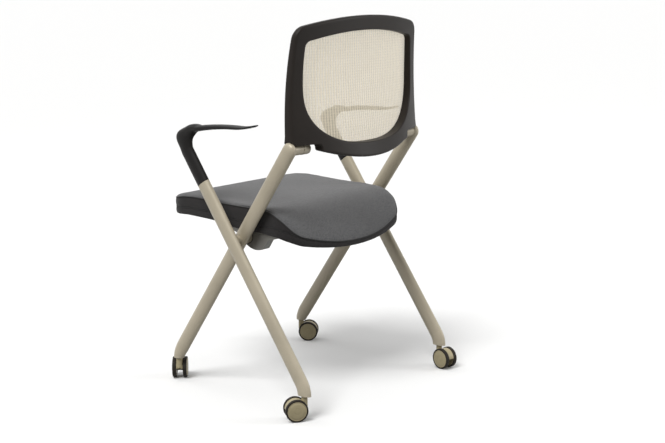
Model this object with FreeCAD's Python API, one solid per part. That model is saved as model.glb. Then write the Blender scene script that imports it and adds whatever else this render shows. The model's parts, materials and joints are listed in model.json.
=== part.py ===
import FreeCAD, Part
import math
import os

# A nesting chair on four twin-wheel castors. Millimetres, +Z up, the floor at z = 0.
# The sitter faces -Y, and +X is the sitter's left.
# The outer leg of each side rises forwards from the rear castor to the armrest.
# The inner leg rises rearwards from the front castor to the backrest pivot.
# The two legs are joined where they cross, and the seat flips up about the tube there.

os.makedirs("parts", exist_ok=True)

Vec = FreeCAD.Vector

# Legs, seen from the side
leg_lean = 34.8
crossing_y = -3.0
crossing_z = 370.0
leg_depth = 35.0
leg_width = 20.0
leg_side_gap = 11.0
seat_side_gap = 7.0
leg_wall = 1.6
plug_fit = 0.1

# Distances along a leg from the crossing
foot_joint = 350.0
arm_joint = 147.5
housing_joint = 218.0
pivot_along = 255.7

# Feet
foot_lift = 4.5
rear_swivel_y = 206.0
front_swivel_y = -216.0
rear_foot_depth = 35.0
front_foot_depth = 27.0
foot_plug_length = 26.0
foot_steps = 5

# Joint between the crossed legs
spacer_radius = 9.0

# Castors
wheel_radius = 25.0
tread_thickness = 3.5
tread_bevel = 1.2
wheel_width = 9.0
wheel_dome = 1.2
wheel_gap = 0.8
castor_trail = 19.7
hood_width = 14.6
hood_radius = 23.6
hood_cut_z = 27.0
hood_boss_radius = 8.5
hood_neck_radius = 6.8
hood_neck_bottom = 30.0
axle_radius = 3.0
axle_share = 0.75
wheel_fit = 0.05
stem_radius = 4.0
stem_fit = 0.05
stem_tip_z = 33.0
socket_radius = 5.5
socket_flange_radius = 8.0
socket_flange = 1.2
socket_depth = 23.0
swivel_gap = 0.4

# Direction in which each castor trails, in degrees from +X towards +Y
castor_heading = {
    "rear_left": -37.0,
    "rear_right": 80.0,
    "front_right": 125.0,
    "front_left": 220.0,
}

# Tube that carries the seat
seat_tube_radius = 12.5
seat_tube_wall = 2.0

# Seat, seen from the side
seat_front = -257.0
seat_back = 158.0
pan_thickness = 15.0
pan_front_z = 412.0
pan_crest_z = 417.0
pan_waist_z = 403.5
pan_shoulder_z = 399.0
pan_turn_z = 383.0
pan_tail_z = 353.0
crest_y = -180.0
waist_y = 0.0
shoulder_y = 80.0
turn_y = 127.0
side_front_z = 434.0
side_crest_z = 445.0
side_waist_z = 439.5
side_shoulder_z = 431.5
side_turn_z = 392.5
side_tail_z = 360.5
seat_crown = 5.0
crown_station = 0.72
crown_fullness = 0.85
cushion_gap = 0.3

# Seat, seen from above
seat_half_width = 205.0
inner_leg_x = seat_half_width + seat_side_gap + leg_width / 2
outer_leg_x = inner_leg_x + leg_width + leg_side_gap
seat_front_radius = 50.0
seat_rear_radius = 55.0
seat_back_radius = 600.0
seat_draw = 3.0
pan_overrun = 1.1
cushion_overrun = 1.02

# Seat brackets
bracket_inset = 5.0
bracket_width = 20.0
bracket_x = seat_half_width - bracket_inset
bracket_ring = 4.2
bracket_side_reach = 0.82
bracket_side_drop = 0.58
bracket_under_reach = 0.35
bracket_under_drop = 0.94
bracket_low_reach = 1.1
bracket_lobe_reach = 2.5
bracket_heel_reach = 3.3
bracket_toe = 57.0
bracket_heel = 92.0
bracket_drop = 26.5
bush_wall = 1.5
bush_fit = 0.05
press_gap = 0.02
screw_radius = 2.5
screw_head_radius = 4.5
screw_head = 2.8
screw_grip = 11.0
toe_screw_inset = 11.0
heel_screw_inset = 12.0

# Stops that hold the seat level
stop_spacing = 14.0
stop_x = bracket_x - bracket_width - stop_spacing
stop_width = 12.0
stop_reach = 40.0
stop_plate = 5.0
buffer_height = 3.0
buffer_radius = 5.0
buffer_gap = 0.3

# Backrest pivot
housing_stub_radius = 12.0
head_steps = 5
head_span = 80.0
lug_radius = 12.5
stub_length = 25.0
lug_length = 24.0
stub_groove = 0.8
lug_end_bevel = 3.0
pin_radius = 5.0
pin_depth = 18.0
tilt_bush_wall = 2.0
tilt_bush_fit = 0.05
neck_width = 16.0
neck_depth = 12.0
neck_height = 38.0
neck_set_back = 12.0
neck_fit = 0.1

# Backrest frame: centre line and plan radius of its rear face at four heights
base_z = 535.0
hinge_rear_reach = 33.2295
base_plan_radius = 515.0
base_depth = 28.0
lumbar_z = 640.0
lumbar_y = 193.0
lumbar_plan_radius = 600.0
lumbar_depth = 21.5
shoulder_line_z = 750.0
shoulder_line_y = 183.5
shoulder_plan_radius = 740.0
shoulder_depth = 18.5
crown_z = 880.0
crown_y = 184.5
crown_plan_radius = 1150.0
crown_depth = 14.0

# Backrest frame, seen from behind
back_top_z = 862.0
back_corner_z = 840.0
back_corner_draw = 14.0
back_waist_draw = 3.0
back_waist_z = 710.0
lobe_overhang = 2.0
back_bottom_z = 550.5
notch_gap = 12.2
back_notch_z = 574.7
back_corner_radius = 32.0
lobe_rise = 11.0
lobe_clearance = 2.0
rim_bevel = 4.0
side_rail = 30.0
window_middle_z = 715.0
window_bottom_z = 584.0
window_top_z = 829.5
window_taper = 6.5
window_side_bow = 0.25
window_steps = 24
plan_overrun = 1.2
window_corner_z = 809.0
window_squareness = 2.5
window_corner_radius = 16.0

# Backrest mesh
mesh_thickness = 1.2
mesh_overlap = 8.0
mesh_fit = 0.05
bead_width = 4.0
bead_depth = 3.0

# Armrests, seen from the side: the bend is drawn about a point behind the post
arm_plug_length = 60.0
arm_width = 32.0
arm_post_steps = 2
arm_bend_steps = 10
arm_pad_steps = 8
arm_bend_y = -98.0
arm_bend_z = 587.0
arm_bend_radius = 20.5
arm_nose = 16.0
arm_nose_angle = 174.0
arm_nose_spread = 20.0
arm_root_thickness = 13.3
arm_waist_y = 20.0
arm_waist_z = 624.0
arm_waist_thickness = 8.0
arm_tip_y = 77.0
arm_tip_z = 632.8
arm_tip_thickness = 3.6
arm_squareness = 2.6
ring_steps = 16

foot_bottom_z = 2 * wheel_radius + foot_lift
lean = math.radians(leg_lean)
back_lobe_x = inner_leg_x + lobe_overhang
back_waist_x = back_lobe_x - back_waist_draw
back_corner_x = back_lobe_x - back_corner_draw
hinge_length = stub_length + stub_groove + lug_length
back_notch_x = inner_leg_x - leg_width / 2 - (hinge_length + notch_gap)
window_half_width = back_waist_x - side_rail
window_corner_x = window_half_width - window_taper
pivot_y = crossing_y + pivot_along * math.sin(lean)
hinge_rear_y = pivot_y + hinge_rear_reach
hinge_x = inner_leg_x - leg_width / 2 - stub_length - stub_groove
base_sagitta = base_plan_radius - math.sqrt(base_plan_radius ** 2 - hinge_x ** 2)
base_y = round(hinge_rear_y + base_sagitta, 3)
HALF_TURN = 180
QUARTER_TURN = 90
FULL_TURN = 360
FORWARDS = -1
REARWARDS = 1
X_AXIS = Vec(1, 0, 0)
Y_AXIS = Vec(0, 1, 0)
Z_AXIS = Vec(0, 0, 1)


def save(shape, node):
    shape.exportStep("parts/" + node + ".step")


def group(shapes):
    return Part.Compound(shapes)


def mirrored(shape):
    return shape.mirror(Vec(0, 0, 0), X_AXIS)


def cylinder(radius, start, end):
    span = end - start
    return Part.makeCylinder(radius, span.Length, start, span)


def tube(outer_radius, inner_radius, start, end):
    return cylinder(outer_radius, start, end).cut(cylinder(inner_radius, start, end))


def box(low, high):
    size = high - low
    return Part.makeBox(size.x, size.y, size.z, low)


def spline(points):
    curve = Part.BSplineCurve()
    curve.interpolate(points)
    return curve.toShape()


def arc(start, middle, end):
    return Part.Arc(start, middle, end).toShape()


def line(start, end):
    return Part.LineSegment(start, end).toShape()


def blend(start, end, share):
    return start + (end - start) * share


def leg_direction(rise):
    return Vec(0, rise * math.sin(lean), math.cos(lean))


def leg_point(x, rise, along):
    return Vec(x, crossing_y, crossing_z) + leg_direction(rise) * along


def across(direction):
    # The direction at right angles to this one in the side view
    return Vec(0, direction.z, -direction.y)


def oval_wire(centre, direction, depth, width):
    major = centre + across(direction) * (depth / 2)
    minor = centre + X_AXIS * (width / 2)
    return Part.Wire(Part.Ellipse(major, minor, centre).toShape())


def oval_bar(x, rise, low, high, inset=0.0):
    depth = leg_depth - 2 * inset
    width = leg_width - 2 * inset
    wire = oval_wire(leg_point(x, rise, low), leg_direction(rise), depth, width)
    return Part.Face(wire).extrude(leg_direction(rise) * (high - low))


def leg_tube(x, rise, high):
    outside = oval_bar(x, rise, -foot_joint, high)
    inside = oval_bar(x, rise, -foot_joint, high, leg_wall)
    return outside.cut(inside)


def outer_leg(x):
    return leg_tube(x, FORWARDS, arm_joint)


def inner_leg(x):
    return leg_tube(x, REARWARDS, housing_joint)


def whole_inner_leg(x):
    return oval_bar(x, REARWARDS, -foot_joint, housing_joint)


def whole_outer_leg(x):
    return oval_bar(x, FORWARDS, -foot_joint, arm_joint)


def leg_spacer(x_sign):
    start = Vec(x_sign * inner_leg_x, crossing_y, crossing_z)
    end = Vec(x_sign * outer_leg_x, crossing_y, crossing_z)
    spacer = cylinder(spacer_radius, start, end)
    return spacer.cut(whole_inner_leg(x_sign * inner_leg_x)).cut(whole_outer_leg(x_sign * outer_leg_x))


def foot(x, rise, swivel_y, bottom_depth):
    # The casting turns the leaning tube upright over the swivel axis
    top = leg_point(x, rise, -foot_joint)
    turn_z = crossing_z + (swivel_y - crossing_y) / (rise * math.tan(lean))
    turn = Vec(x, swivel_y, turn_z)
    bottom = Vec(x, swivel_y, foot_bottom_z)
    sections = []
    for step in range(foot_steps + 1):
        t = step / foot_steps
        centre = top * (1 - t) ** 2 + turn * (2 * t * (1 - t)) + bottom * t ** 2
        slope = (top - turn) * (1 - t) + (turn - bottom) * t
        slope.normalize()
        sections.append(oval_wire(centre, slope, blend(leg_depth, bottom_depth, t), leg_width))
    casting = Part.makeLoft(sections, True, True)
    plug = oval_bar(x, rise, -foot_joint, -foot_joint + foot_plug_length, leg_wall + plug_fit)
    bore = cylinder(socket_radius, bottom, bottom + Z_AXIS * socket_depth)
    return casting.fuse(plug).cut(bore)


def castor_socket(x, y):
    bottom = Vec(x, y, foot_bottom_z - socket_flange)
    seat = Vec(x, y, foot_bottom_z)
    flange = cylinder(socket_flange_radius, bottom, seat)
    sleeve = cylinder(socket_radius, seat, seat + Z_AXIS * socket_depth)
    bore = cylinder(stem_radius, bottom, seat + Z_AXIS * socket_depth)
    return flange.fuse(sleeve).cut(bore)


def castor_stem(x, y):
    return cylinder(stem_radius, Vec(x, y, stem_tip_z), Vec(x, y, foot_bottom_z + socket_depth))


def castor_hood():
    # Modelled about its swivel axis, trailing towards +X
    side = Vec(0, hood_width / 2, 0)
    axle = Vec(castor_trail, 0, wheel_radius)
    fender = cylinder(hood_radius, axle - side, axle + side)
    below = box(Vec(-3 * wheel_radius, -hood_width, 0), Vec(3 * wheel_radius, hood_width, hood_cut_z))
    boss = cylinder(hood_boss_radius, axle - side, axle + side)
    neck_top = foot_bottom_z - socket_flange - swivel_gap
    neck = cylinder(hood_neck_radius, Vec(0, 0, hood_neck_bottom), Vec(0, 0, neck_top))
    hood = fender.cut(below).fuse(boss).fuse(neck)
    stem_bore = cylinder(stem_radius + stem_fit, Vec(0, 0, stem_tip_z - swivel_gap), Vec(0, 0, neck_top))
    axle_bore = cylinder(axle_radius, axle - side, axle + side)
    return hood.cut(stem_bore).cut(axle_bore)


def axle_reach():
    return hood_width / 2 + wheel_gap + wheel_width * axle_share


def castor_axle():
    reach = Vec(0, axle_reach(), 0)
    centre = Vec(castor_trail, 0, wheel_radius)
    return cylinder(axle_radius, centre - reach, centre + reach)


def wheel_start():
    return Vec(castor_trail, hood_width / 2 + wheel_gap, wheel_radius)


def castor_wheel():
    # A disc with a shallow dome on its outer face, on the +Y side of the hood
    rim = wheel_radius - tread_thickness
    start = wheel_start()
    crest = start + Y_AXIS * (wheel_width + wheel_dome)
    dome_radius = (rim ** 2 + wheel_dome ** 2) / (2 * wheel_dome)
    disc = cylinder(rim, start, crest).common(Part.makeSphere(dome_radius, crest - Y_AXIS * dome_radius))
    bore_end = Vec(castor_trail, axle_reach() + wheel_fit, wheel_radius)
    return disc.cut(cylinder(axle_radius + wheel_fit, start, bore_end))


def castor_tread():
    # A ring with bevelled shoulders
    rim = wheel_radius - tread_thickness
    shoulder = wheel_radius - tread_bevel
    profile = [
        (0, rim),
        (0, shoulder),
        (tread_bevel, wheel_radius),
        (wheel_width - tread_bevel, wheel_radius),
        (wheel_width, shoulder),
        (wheel_width, rim),
        (0, rim),
    ]
    start = wheel_start()
    outline = Part.makePolygon([start + Y_AXIS * along + Z_AXIS * radius for along, radius in profile])
    return Part.Face(outline).revolve(start, Y_AXIS, FULL_TURN)


def across_hood(shape):
    return shape.mirror(Vec(0, 0, 0), Y_AXIS)


def placed_castor(shape, x, y, heading):
    turned = shape.copy()
    turned.rotate(Vec(0, 0, 0), Z_AXIS, heading)
    turned.translate(Vec(x, y, 0))
    return turned


def stop_top():
    return pan_bottom_at(crossing_y - stop_reach + stop_plate) - buffer_height - buffer_gap


def seat_tube():
    end = Vec(inner_leg_x, crossing_y, crossing_z)
    start = Vec(-inner_leg_x, crossing_y, crossing_z)
    pipe = cylinder(seat_tube_radius, start, end)
    for x in (-inner_leg_x, inner_leg_x):
        pipe = pipe.cut(whole_inner_leg(x))
    bore = cylinder(seat_tube_radius - seat_tube_wall, start, end)
    tab = stop_tab()
    return pipe.fuse([tab, mirrored(tab)]).cut(bore)


def stop_tab():
    # A plate welded to the front of the tube, bent level under the seat
    front = crossing_y - stop_reach
    rear = crossing_y - seat_tube_radius + seat_tube_wall
    top = stop_top()
    outline = Part.makePolygon([
        Vec(stop_x, front, top),
        Vec(stop_x, front + stop_plate * 2, top),
        Vec(stop_x, rear, crossing_z + stop_plate),
        Vec(stop_x, rear, crossing_z - stop_plate),
        Vec(stop_x, front, top - stop_plate),
        Vec(stop_x, front, top),
    ])
    return Part.Face(outline).extrude(X_AXIS * stop_width)


def seat_line(front_z, crest_z, waist_z, shoulder_z, turn_z, tail_z, x=0.0):
    # One side-view line of the seat, from just past the front edge to just past the back edge
    margin = seat_draw * 2
    return [
        Vec(x, seat_front - margin, front_z),
        Vec(x, crest_y, crest_z),
        Vec(x, waist_y, waist_z),
        Vec(x, shoulder_y, shoulder_z),
        Vec(x, turn_y, turn_z),
        Vec(x, seat_back + margin, tail_z),
    ]


def pan_line(drop, x=0.0):
    return seat_line(
        pan_front_z - drop,
        pan_crest_z - drop,
        pan_waist_z - drop,
        pan_shoulder_z - drop,
        pan_turn_z - drop,
        pan_tail_z - drop,
        x,
    )


def pan_bottom_at(y):
    upright = line(Vec(0, y, 0), Vec(0, y, 2 * crossing_z))
    return spline(pan_line(pan_thickness)).distToShape(upright)[1][0][0].z


def band(lower, upper):
    # The closed outline between two side-view lines
    back = line(lower[-1], upper[-1])
    front = line(upper[0], lower[0])
    return Part.Wire([spline(lower), back, spline(upper[::-1]), front])


def seat_outline(grow, z):
    # Square front with rounded corners, and a back edge that bows rearwards
    half = seat_half_width + grow
    front = seat_front - grow
    front_radius = seat_front_radius + grow
    rear_radius = seat_rear_radius + grow
    back_radius = seat_back_radius + grow
    back_centre = seat_back - seat_back_radius
    rear_x = half - rear_radius
    rear_y = back_centre + math.sqrt((back_radius - rear_radius) ** 2 - rear_x ** 2)
    touch = back_radius / (back_radius - rear_radius)
    touch_x = rear_x * touch
    touch_y = back_centre + (rear_y - back_centre) * touch
    turn = math.atan2(touch_y - rear_y, touch_x - rear_x) / 2
    slant = math.sqrt(0.5)

    def corner(sign, x, y):
        return Vec(sign * x, y, z)

    def front_arc(sign):
        middle = corner(sign, half - front_radius * (1 - slant), front + front_radius * (1 - slant))
        start = corner(sign, half - front_radius, front)
        return arc(start, middle, corner(sign, half, front + front_radius))

    def rear_arc(sign):
        middle = corner(sign, rear_x + rear_radius * math.cos(turn), rear_y + rear_radius * math.sin(turn))
        return arc(corner(sign, half, rear_y), middle, corner(sign, touch_x, touch_y))

    edges = [line(corner(-1, half - front_radius, front), corner(1, half - front_radius, front))]
    edges.append(front_arc(1))
    edges.append(line(corner(1, half, front + front_radius), corner(1, half, rear_y)))
    edges.append(rear_arc(1))
    edges.append(arc(corner(1, touch_x, touch_y), Vec(0, seat_back + grow, z), corner(-1, touch_x, touch_y)))
    edges.append(rear_arc(-1))
    edges.append(line(corner(-1, half, rear_y), corner(-1, half, front + front_radius)))
    edges.append(front_arc(-1))
    return Part.Wire(Part.__sortEdges__(edges))


def seat_block():
    # The drawn-in sides: the outline is smaller below than above
    low = seat_outline(-seat_draw, pan_tail_z - 2 * pan_thickness)
    high = seat_outline(0, side_crest_z + 2 * seat_crown)
    return Part.makeLoft([low, high], True, True)


def seat_pan():
    start = -seat_half_width * pan_overrun
    face = Part.Face(band(pan_line(pan_thickness, start), pan_line(0, start)))
    return face.extrude(X_AXIS * (-2 * start)).common(seat_block())


def below_seat(shape):
    # What is left of a bracket or a screw once the space above the pan's underside is taken away
    start = -seat_half_width * pan_overrun
    roof = pan_line(pan_thickness, start)
    lid = pan_line(-4 * pan_thickness, start)
    return shape.cut(Part.Face(band(roof, lid)).extrude(X_AXIS * (-2 * start)))


def seat_cushion():
    sections = []
    reach = seat_half_width * cushion_overrun
    edge = (1, 0)
    shoulder = (crown_station, crown_fullness)
    far_shoulder = (-crown_station, crown_fullness)
    for share, fullness in ((-1, 0), far_shoulder, (0, 1), shoulder, edge):
        x = share * reach
        lift = seat_crown * fullness
        top = seat_line(
            side_front_z,
            side_crest_z + lift,
            side_waist_z + lift,
            side_shoulder_z + lift / 2,
            side_turn_z,
            side_tail_z,
            x,
        )
        sections.append(band(pan_line(-cushion_gap, x), top))
    slab = Part.makeLoft(sections, True, False)
    return slab.common(seat_block())


def bracket_bore():
    return seat_tube_radius + bush_fit + bush_wall


def bracket_outline(x):
    radius = bracket_bore() + bracket_ring
    deep = crossing_z - bracket_drop
    top = pan_crest_z
    toe = crossing_y - bracket_toe
    heel = crossing_y + bracket_heel
    toe_z = pan_bottom_at(toe) - 2 * bracket_ring
    heel_z = pan_bottom_at(heel) - bracket_ring

    def point(y, z):
        return Vec(x, y, z)

    ring_start = point(crossing_y - radius, crossing_z)
    ring_side = point(crossing_y - radius * bracket_side_reach, crossing_z - radius * bracket_side_drop)
    ring_end = point(crossing_y - radius * bracket_under_reach, crossing_z - radius * bracket_under_drop)
    lobe_end = point(crossing_y + radius * bracket_lobe_reach, deep + bracket_ring)
    lobe_low = point(crossing_y + radius * bracket_low_reach, deep)
    heel_start = point(crossing_y + radius * bracket_heel_reach, heel_z - 2 * bracket_ring)
    edges = [line(point(toe, top), point(toe, toe_z))]
    edges.append(line(point(toe, toe_z), ring_start))
    edges.append(arc(ring_start, ring_side, ring_end))
    edges.append(arc(ring_end, lobe_low, lobe_end))
    edges.append(line(lobe_end, heel_start))
    edges.append(line(heel_start, point(heel, heel_z)))
    edges.append(line(point(heel, heel_z), point(heel, top)))
    edges.append(line(point(heel, top), point(toe, top)))
    return Part.Face(Part.Wire(edges))


def bracket_screw_spots():
    toe = crossing_y - bracket_toe + toe_screw_inset
    heel = crossing_y + bracket_heel - heel_screw_inset
    x = bracket_x - bracket_width / 2
    return [Vec(x, y, pan_bottom_at(y)) for y in (toe, heel)]


def screw_head_seat(spot):
    return spot - Z_AXIS * bracket_ring


def seat_bracket():
    cheek = bracket_outline(bracket_x - bracket_width).extrude(X_AXIS * bracket_width)
    cheek = below_seat(cheek)
    inner = Vec(bracket_x - bracket_width, crossing_y, crossing_z)
    cheek = cheek.cut(cylinder(bracket_bore() + press_gap, inner, inner + X_AXIS * bracket_width))
    for spot in bracket_screw_spots():
        seat = screw_head_seat(spot)
        cheek = cheek.cut(cylinder(screw_radius + press_gap, seat, spot + Z_AXIS * pan_thickness))
        cheek = cheek.cut(cylinder(screw_head_radius + press_gap, seat - Z_AXIS * 2 * pan_thickness, seat))
    return cheek


def bracket_bush():
    inner = Vec(bracket_x - bracket_width, crossing_y, crossing_z)
    return tube(bracket_bore(), seat_tube_radius + bush_fit, inner, inner + X_AXIS * bracket_width)


def bracket_screws():
    screws = []
    for spot in bracket_screw_spots():
        seat = screw_head_seat(spot)
        shank = cylinder(screw_radius, seat, spot + Z_AXIS * (screw_grip - bracket_ring))
        head = cylinder(screw_head_radius, seat - Z_AXIS * screw_head, seat)
        screws.append(shank.fuse(head))
    return screws


def drilled_pan():
    pan = seat_pan()
    for screw in bracket_screws():
        pan = pan.cut(screw).cut(mirrored(screw))
    return pan


def seat_buffer():
    y = crossing_y - stop_reach + stop_plate
    foot_centre = Vec(stop_x + stop_width / 2, y, stop_top() + buffer_gap)
    peg = cylinder(buffer_radius, foot_centre, foot_centre + Z_AXIS * pan_thickness)
    return below_seat(peg)


def pivot_centre(x):
    return leg_point(x, REARWARDS, pivot_along)


def pivot_housing():
    # The cast head of the inner leg, round in side view, with the hinge stub on its inner face
    x = inner_leg_x
    centre = pivot_centre(x)
    up = leg_direction(REARWARDS)
    lower = oval_bar(x, REARWARDS, housing_joint, pivot_along)
    rings = []
    for step in range(head_steps + 1):
        angle = math.radians(head_span) * step / head_steps
        spot = centre + up * (leg_depth / 2 * math.sin(angle))
        rings.append(oval_wire(spot, up, leg_depth * math.cos(angle), leg_width * math.cos(angle)))
    upper = Part.makeLoft(rings, True, True)
    plug = oval_bar(x, REARWARDS, housing_joint - foot_plug_length, housing_joint, leg_wall + plug_fit)
    stub = cylinder(housing_stub_radius, stub_end(), centre)
    pin_hole = cylinder(pin_radius, stub_end(), stub_end() + X_AXIS * (stub_length + pin_depth / 2))
    return lower.fuse([upper, plug, stub]).cut(pin_hole)


def stub_end():
    return pivot_centre(inner_leg_x - leg_width / 2 - stub_length)


def lug_start():
    return stub_end() - X_AXIS * stub_groove


def lug_end():
    return lug_start() - X_AXIS * lug_length


def pivot_pin():
    start = stub_end() - X_AXIS * pin_depth
    return cylinder(pin_radius, start, stub_end() + X_AXIS * (stub_length + pin_depth / 2))


def tilt_bush():
    start = lug_start()
    end = start - X_AXIS * (pin_depth - stub_groove)
    inner = pin_radius + tilt_bush_fit
    return tube(inner + tilt_bush_wall, inner, start, end)


def neck_box(grow):
    centre = (lug_start() + lug_end()) * 0.5
    half_width = neck_width / 2 + grow
    half_depth = neck_depth / 2 + grow
    middle_y = centre.y + neck_set_back
    low = Vec(centre.x - half_width, middle_y - half_depth, centre.z)
    high = Vec(centre.x + half_width, middle_y + half_depth, centre.z + neck_height + grow)
    return box(low, high)


def back_lug():
    barrel = cylinder(lug_radius, lug_end(), lug_start())
    rims = [edge for edge in barrel.Edges if abs(edge.BoundBox.XMax - lug_end().x) < 1e-3]
    barrel = barrel.makeChamfer(lug_end_bevel, rims)
    bush_end = lug_start() - X_AXIS * (pin_depth - stub_groove + tilt_bush_fit)
    bore = cylinder(pin_radius + tilt_bush_fit + tilt_bush_wall + press_gap, bush_end, lug_start())
    lug = barrel.fuse(neck_box(0)).cut(bore)
    return lug.cut(lug_screw(press_gap))


def lug_screw_seat():
    centre = (lug_start() + lug_end()) * 0.5
    front_y = centre.y + neck_set_back - neck_depth / 2
    return Vec(centre.x, front_y, centre.z + neck_height - 3 * screw_radius)


def lug_screw(grow):
    # Its countersunk head lies below the frame's front face
    seat = lug_screw_seat()
    shank = cylinder(screw_radius + grow, seat, seat + Y_AXIS * (neck_depth - screw_radius))
    head = cylinder(screw_head_radius + grow, seat - Y_AXIS * (screw_head + grow), seat)
    return shank.fuse(head)


def plan_section(z, centre_y, radius, front_y):
    reach = back_lobe_x * plan_overrun
    edge_y = centre_y - radius + math.sqrt(radius ** 2 - reach ** 2)
    rear = arc(Vec(-reach, edge_y, z), Vec(0, centre_y, z), Vec(reach, edge_y, z))
    right = line(Vec(reach, edge_y, z), Vec(reach, front_y, z))
    front = line(Vec(reach, front_y, z), Vec(-reach, front_y, z))
    left = line(Vec(-reach, front_y, z), Vec(-reach, edge_y, z))
    return Part.Wire([rear, right, front, left])


def back_block(set_forward, clear_y):
    # Everything in front of a face that lies parallel to the frame's rear face
    stations = (
        (base_z, base_y - base_depth * set_forward, base_plan_radius),
        (lumbar_z, lumbar_y - lumbar_depth * set_forward, lumbar_plan_radius),
        (shoulder_line_z, shoulder_line_y - shoulder_depth * set_forward, shoulder_plan_radius),
        (crown_z, crown_y - crown_depth * set_forward, crown_plan_radius),
    )
    sections = [plan_section(z, y + clear_y, radius, crossing_y) for z, y, radius in stations]
    return Part.makeLoft(sections, True, False)


def upright_prism(edges):
    # A rear-view outline, drawn at y = 0, run through the whole depth of the backrest
    return Part.Face(Part.Wire(edges)).extrude(Y_AXIS * (2 * base_y))


def rounded_corners(prism, x, z, radius):
    picked = []
    for edge in prism.Edges:
        middle = edge.CenterOfMass
        if edge.BoundBox.YLength > base_y and abs(abs(middle.x) - x) < 1 and abs(middle.z - z) < 1:
            picked.append(edge)
    return prism.makeFillet(radius, picked)


def lobe_z():
    return pivot_centre(0).z + lobe_rise


def frame_outline():
    under_lobe = lobe_z()

    def point(x, z):
        return Vec(x, 0, z)

    left_corner = point(-back_corner_x, back_corner_z)
    right_corner = point(back_corner_x, back_corner_z)
    left_waist = point(-back_waist_x, back_waist_z)
    right_waist = point(back_waist_x, back_waist_z)
    edges = [arc(left_corner, point(0, back_top_z), right_corner)]
    edges.append(arc(right_corner, right_waist, point(back_lobe_x, under_lobe)))
    edges.append(line(point(back_lobe_x, under_lobe), point(back_notch_x, under_lobe)))
    edges.append(line(point(back_notch_x, under_lobe), point(back_notch_x, back_notch_z)))
    left_notch = point(-back_notch_x, back_notch_z)
    edges.append(arc(point(back_notch_x, back_notch_z), point(0, back_bottom_z), left_notch))
    edges.append(line(left_notch, point(-back_notch_x, under_lobe)))
    edges.append(line(point(-back_notch_x, under_lobe), point(-back_lobe_x, under_lobe)))
    edges.append(arc(point(-back_lobe_x, under_lobe), left_waist, left_corner))
    prism = upright_prism(edges)
    return rounded_corners(prism, back_corner_x, back_corner_z, back_corner_radius)


def window(grow):
    # A shallow arch over a rounded bottom
    half = window_half_width + grow
    depth = window_middle_z - window_bottom_z + grow
    corner_x = window_corner_x + grow
    corner_z = window_corner_z + grow
    side_x = (half + corner_x) / 2
    bow = (half - corner_x) * window_side_bow
    points = []
    for step in range(window_steps + 1):
        angle = math.pi * step / window_steps
        cosine = math.cos(angle)
        sine = math.sin(angle)
        x = half * math.copysign(abs(cosine) ** (2 / window_squareness), cosine)
        z = window_middle_z - depth * abs(sine) ** (2 / window_squareness)
        points.append(Vec(x, 0, z))

    def side(sign):
        start = Vec(sign * half, 0, window_middle_z)
        middle = Vec(sign * (side_x + bow), 0, (window_middle_z + corner_z) / 2)
        return arc(start, middle, Vec(sign * corner_x, 0, corner_z))

    top = arc(Vec(-corner_x, 0, corner_z), Vec(0, 0, window_top_z + grow), Vec(corner_x, 0, corner_z))
    prism = upright_prism([spline(points), side(-1), top, side(1)])
    return rounded_corners(prism, corner_x, corner_z, window_corner_radius + grow)


def pivot_clearance():
    # Hollows under the lobes that turn about the leg heads and the hinge barrels
    cuts = []
    for sign in (-1, 1):
        lug_x = sign * back_notch_x
        inner_face = sign * (inner_leg_x - leg_width / 2 - lobe_clearance)
        outside = sign * (inner_leg_x + leg_width)
        barrel = pivot_centre(lug_x), pivot_centre(inner_face)
        cuts.append(cylinder(lug_radius + lobe_clearance, barrel[0], barrel[1]))
        head = pivot_centre(inner_face), pivot_centre(outside)
        cuts.append(cylinder(leg_depth / 2 + lobe_clearance, head[0], head[1]))
    return cuts


def layer(prism, front, rear):
    # The part of a rear-view prism that lies between two faces of the backrest
    return prism.common(rear).cut(front)


def edge_middle(edge):
    return edge.valueAt((edge.FirstParameter + edge.LastParameter) / 2)


def runs_round(edge):
    # True for an edge that follows an outline, false for one that crosses the frame's depth
    return abs(edge.tangentAt((edge.FirstParameter + edge.LastParameter) / 2).y) < math.cos(lean)


def eased_rim(body):
    # Bevels the outer rim in front and behind, except at the lobes over the pivots
    rim = []
    for edge in body.Edges:
        z = edge_middle(edge).z
        if runs_round(edge) and (z > lobe_z() + lobe_rise or z < back_notch_z):
            rim.append(edge)
    return body.makeChamfer(rim_bevel, rim)


def back_frame():
    body = eased_rim(layer(frame_outline(), back_block(1, 0), back_block(0, 0))).cut(window(0))
    for hollow in pivot_clearance():
        body = body.cut(hollow)
    rebate = window(mesh_overlap).common(back_block(1, mesh_thickness + mesh_fit))
    ring_zone = window(mesh_overlap).cut(window(mesh_overlap - bead_width))
    groove = ring_zone.common(back_block(1, mesh_thickness + mesh_fit + bead_depth))
    body = body.cut(rebate).cut(groove)
    for recess in (neck_box(neck_fit), lug_screw_way()):
        body = body.cut(recess).cut(mirrored(recess))
    return body


def lug_screw_way():
    seat = lug_screw_seat()
    return cylinder(screw_head_radius + press_gap, seat - Y_AXIS * 2 * base_depth, seat)


def back_mesh():
    return layer(window(mesh_overlap - mesh_fit), back_block(1, 0), back_block(1, mesh_thickness))


def mesh_bead():
    ring = window(mesh_overlap - mesh_fit).cut(window(mesh_overlap - bead_width + mesh_fit))
    return layer(ring, back_block(1, mesh_thickness), back_block(1, mesh_thickness + bead_depth))


def ring(centre, direction, depth, width, squareness):
    # An oval that grows squarer as the exponent rises from 2
    major = across(direction) * (depth / 2)
    minor = X_AXIS * (width / 2)
    points = []
    for step in range(ring_steps):
        angle = 2 * math.pi * step / ring_steps
        cosine = math.cos(angle)
        sine = math.sin(angle)
        along_major = math.copysign(abs(cosine) ** (2 / squareness), cosine)
        along_minor = math.copysign(abs(sine) ** (2 / squareness), sine)
        points.append(centre + major * along_major + minor * along_minor)
    curve = Part.BSplineCurve()
    curve.interpolate(points, True)
    return Part.Wire(curve.toShape())


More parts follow.
